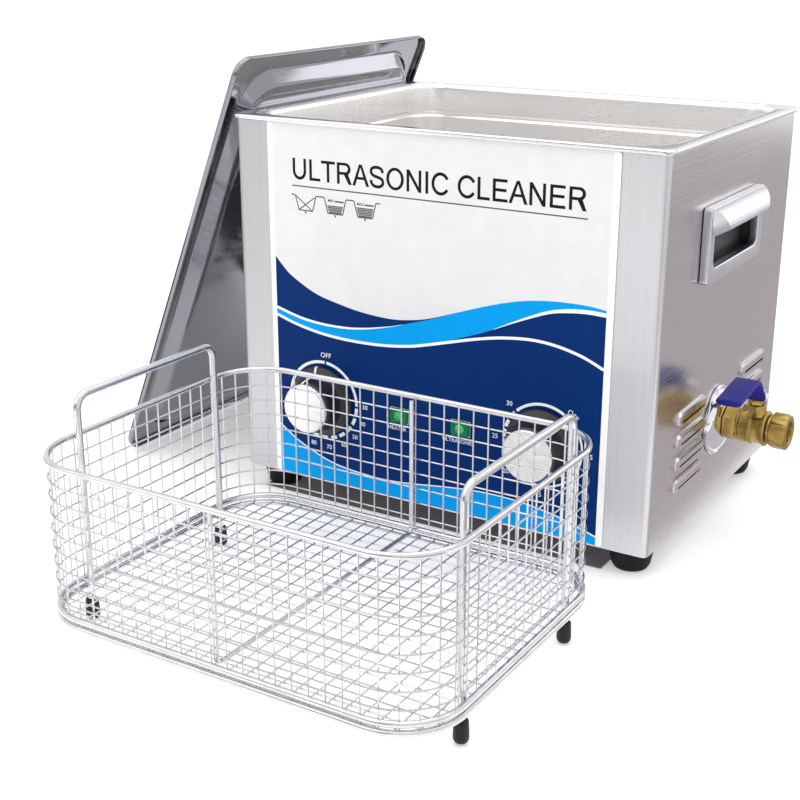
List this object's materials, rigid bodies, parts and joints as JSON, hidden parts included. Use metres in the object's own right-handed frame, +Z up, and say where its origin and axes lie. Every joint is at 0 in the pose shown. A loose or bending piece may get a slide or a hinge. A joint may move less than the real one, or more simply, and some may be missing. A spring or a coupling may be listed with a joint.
{
  "type": "ultrasonic cleaner",
  "caption": "Bench-top ultrasonic cleaner with a rectangular steel tank, dials, side drain valve, lift-off lid leaning beside it and a wire basket in front.",
  "frame": {"origin": "bottom centre of the box around the machine, the leaning lid and the basket, on the bench", "axes": "+Z up, the control panel faces -Y, the drain valve is on the +X side and the lid leans on the -X side"},
  "size_m": [0.516, 0.537, 0.3272],
  "materials": {
    "brushed_case": "brushed stainless sheet with a horizontal grain on the sides",
    "tank_steel": "bright drawn stainless, soft mirror",
    "lid_steel": "bright pressed stainless, soft mirror",
    "chrome_trim": "bright chrome plate",
    "forged_brass": "satin forged brass, turned where it seals",
    "basket_wire": "bright drawn stainless wire",
    "black_plastic": "black moulded plastic",
    "knob_plastic": "gloss black moulded plastic with a white pointer line",
    "black_rubber": "black rubber",
    "label_film": "printed film in navy, blue and white over silver",
    "blue_grip": "steel strip dipped in blue vinyl",
    "green_lens": "clear green indicator lens",
    "spun_aluminium": "turned and radially brushed",
    "drawn_tube": "bright stainless tube",
    "dark_steel": "dark plated steel",
    "circuit_board": "green lacquered board with dark components",
    "silicone_pad": "orange silicone heating pad",
    "transducer_metal": "turned aluminium"
  },
  "bodies": {
    "machine": {"housing": "brushed_case", "rear_panel": "brushed_case", "base_plate": "brushed_case", "front_label": "label_film", "tank": "tank_steel", "foot_front_left": "black_rubber", "foot_front_right": "black_rubber", "foot_rear_left": "black_rubber", "foot_rear_right": "black_rubber", "transducer_1": "transducer_metal", "transducer_2": "transducer_metal", "transducer_3": "transducer_metal", "transducer_4": "transducer_metal", "heater_pad_front": "silicone_pad", "heater_pad_rear": "silicone_pad", "generator_board": "circuit_board", "fan_frame": "black_plastic", "thermostat": "dark_steel", "timer_unit": "dark_steel", "heater_lamp": "green_lens", "ultrasonic_lamp": "green_lens", "carry_handle_right": "chrome_trim", "carry_handle_left": "chrome_trim", "handle_cup_right": "black_plastic", "handle_cup_left": "black_plastic", "drain_pipe": "drawn_tube", "escutcheon": "chrome_trim", "valve_body": "forged_brass", "gland_nut": "forged_brass", "outlet_nut": "forged_brass", "power_inlet": "black_plastic", "switch_frame": "black_plastic", "fuse_holder": "black_plastic"},
    "temperature_dial": {"temperature_knob": "knob_plastic", "temperature_knob_cap": "spun_aluminium"},
    "timer_dial": {"timer_knob": "knob_plastic", "timer_knob_cap": "spun_aluminium"},
    "valve_handle": {"valve_ball": "chrome_trim", "valve_stem": "dark_steel", "valve_lever": "blue_grip", "lever_nut": "chrome_trim"},
    "rocker": {"power_rocker": "black_plastic"},
    "fan_wheel": {"fan_rotor": "black_plastic"},
    "lid_group": {"lid": "lid_steel", "lid_handle": "chrome_trim"},
    "basket_group": {"basket_rim": "basket_wire", "basket_lower_ring": "basket_wire", "basket_upper_ring": "basket_wire", "basket_wall": "basket_wire", "basket_floor": "basket_wire", "basket_handle_left": "basket_wire", "basket_handle_right": "basket_wire", "basket_centre_wire": "basket_wire", "basket_foot_front_left": "black_rubber", "basket_foot_front_right": "black_rubber", "basket_foot_rear_left": "black_rubber", "basket_foot_rear_right": "black_rubber"}
  },
  "joints": [
    {"name": "temperature_dial_turn", "type": "hinge", "parent": "machine", "child": "temperature_dial", "pos_m": [-0.05291, 0.0037, 0.083], "axis": [0, 1, 0], "range_deg": [0, 270]},
    {"name": "timer_dial_turn", "type": "hinge", "parent": "machine", "child": "timer_dial", "pos_m": [0.12609, 0.0037, 0.083], "axis": [0, 1, 0], "range_deg": [0, 275]},
    {"name": "valve_lever_turn", "type": "hinge", "parent": "machine", "child": "valve_handle", "pos_m": [0.23309, 0.1275, 0.079], "axis": [0, 0, 1], "range_deg": [0, 90]},
    {"name": "power_rocker_tilt", "type": "hinge", "parent": "machine", "child": "rocker", "pos_m": [0.13709, 0.2583, 0.063], "axis": [1, 0, 0], "range_deg": [0, 16]},
    {"name": "fan_spin", "type": "hinge", "parent": "machine", "child": "fan_wheel", "pos_m": [-0.03091, 0.2421, 0.076], "axis": [0, 1, 0], "continuous": true},
    {"name": "lid_lift", "type": "slide", "parent": "machine", "child": "lid_group", "axis": [0.3811, 0, 0.9245], "range_m": [0, 0.36]},
    {"name": "basket_lift", "type": "slide", "parent": "machine", "child": "basket_group", "axis": [0, 0, 1], "range_m": [0, 0.33]}
  ]
}
